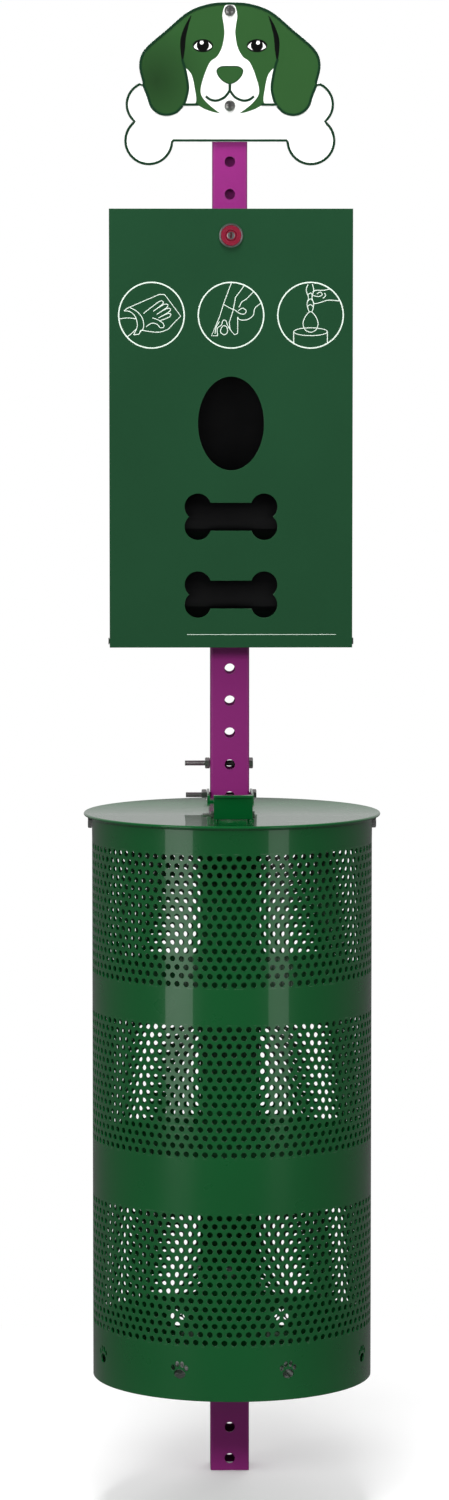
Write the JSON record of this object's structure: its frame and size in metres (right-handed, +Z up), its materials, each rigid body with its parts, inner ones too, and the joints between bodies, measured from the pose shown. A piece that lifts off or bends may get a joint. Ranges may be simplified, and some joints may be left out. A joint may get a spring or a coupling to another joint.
{
  "type": "dog waste bin",
  "caption": "Post-mounted dog waste station: a telescoping square post carries a sign, a lockable bag dispenser and a round perforated litter can with a hinged lid.",
  "frame": {"origin": "at the height of the post's foot, under the middle of the whole station's bounding box; the post's axis is 158.9 mm behind it and the can's axis 28.1 mm in front of it", "axes": "+Z up along the post, -Y towards the front, where the dispenser and the can are, +X to the right seen from the front"},
  "size_m": [0.3326, 0.3888, 1.7005],
  "materials": {
    "purple_powder_coat": "gloss powder coat",
    "green_powder_coat": "gloss powder coat",
    "panel_green": "satin powder coat",
    "zinc_steel": "bright zinc plate",
    "sign_enamel": "satin printed enamel",
    "black_plastic": "matt moulded",
    "bag_film": "thin film with a soft sheen",
    "cardboard": "raw board",
    "lock_face": "satin anodised"
  },
  "bodies": {
    "station": {"lower_post": "purple_powder_coat", "upper_post": "purple_powder_coat", "post_cap": "black_plastic", "tube_lock_bolt": "zinc_steel", "tube_lock_nut": "zinc_steel", "stop_bolt": "zinc_steel", "stop_nut": "zinc_steel", "sign_plate": "sign_enamel", "lower_sign_bolt": "zinc_steel", "lower_sign_nut": "zinc_steel", "upper_sign_bolt": "zinc_steel", "upper_sign_nut": "zinc_steel", "can_body": "green_powder_coat", "can_base": "green_powder_coat", "can_back_strip": "green_powder_coat", "bag_ring": "zinc_steel", "left_ring_bolt": "zinc_steel", "left_ring_nut": "zinc_steel", "right_ring_bolt": "zinc_steel", "right_ring_nut": "zinc_steel", "lower_can_bracket": "green_powder_coat", "lower_can_rivet": "zinc_steel", "lower_bracket_bolt": "zinc_steel", "lower_bracket_nut": "zinc_steel", "upper_can_bracket": "green_powder_coat", "upper_can_rivet": "zinc_steel", "upper_bracket_bolt": "zinc_steel", "upper_bracket_nut": "zinc_steel", "lid_hinge_bolt": "zinc_steel", "lid_hinge_nut": "zinc_steel", "dispenser_housing": "panel_green", "left_cover_pin": "zinc_steel", "right_cover_pin": "zinc_steel", "header_bag_pack": "bag_film", "bag_hook": "zinc_steel", "left_roll_cradle": "zinc_steel", "right_roll_cradle": "zinc_steel", "upper_spindle": "zinc_steel", "lower_spindle": "zinc_steel", "dispenser_spacer": "zinc_steel", "lower_dispenser_bolt": "zinc_steel", "lower_dispenser_nut": "zinc_steel", "upper_dispenser_bolt": "zinc_steel", "upper_dispenser_nut": "zinc_steel"},
    "lid": {"lid": "green_powder_coat", "lid_hinge_bracket": "green_powder_coat", "left_lid_rivet": "zinc_steel", "right_lid_rivet": "zinc_steel", "lid_handle": "green_powder_coat", "handle_bolt": "zinc_steel", "handle_nut": "zinc_steel"},
    "cover": {"dispenser_cover": "panel_green", "lock_barrel": "zinc_steel", "lock_nut": "zinc_steel"},
    "lock_core": {"lock_plug": "lock_face", "lock_cam": "zinc_steel"},
    "upper_roll": {"upper_bag_roll": "bag_film", "upper_roll_core": "cardboard"},
    "lower_roll": {"lower_bag_roll": "bag_film", "lower_roll_core": "cardboard"}
  },
  "joints": [
    {"name": "lid_lift", "type": "hinge", "parent": "station", "child": "lid", "pos_m": [0, 0.1589, 0.7912], "axis": [-1, 0, 0], "range_deg": [0, 55]},
    {"name": "cover_open", "type": "hinge", "parent": "station", "child": "cover", "pos_m": [0, 0.0554, 0.9766], "axis": [-1, 0, 0], "range_deg": [-90, 0]},
    {"name": "lock_turn", "type": "hinge", "parent": "cover", "child": "lock_core", "pos_m": [0, 0.0469, 1.4345], "axis": [0, -1, 0], "range_deg": [0, 90]},
    {"name": "upper_roll_spin", "type": "hinge", "parent": "station", "child": "upper_roll", "pos_m": [0, 0.0929, 1.1178], "axis": [1, 0, 0], "continuous": true},
    {"name": "lower_roll_spin", "type": "hinge", "parent": "station", "child": "lower_roll", "pos_m": [0, 0.0929, 1.0296], "axis": [1, 0, 0], "continuous": true}
  ]
}
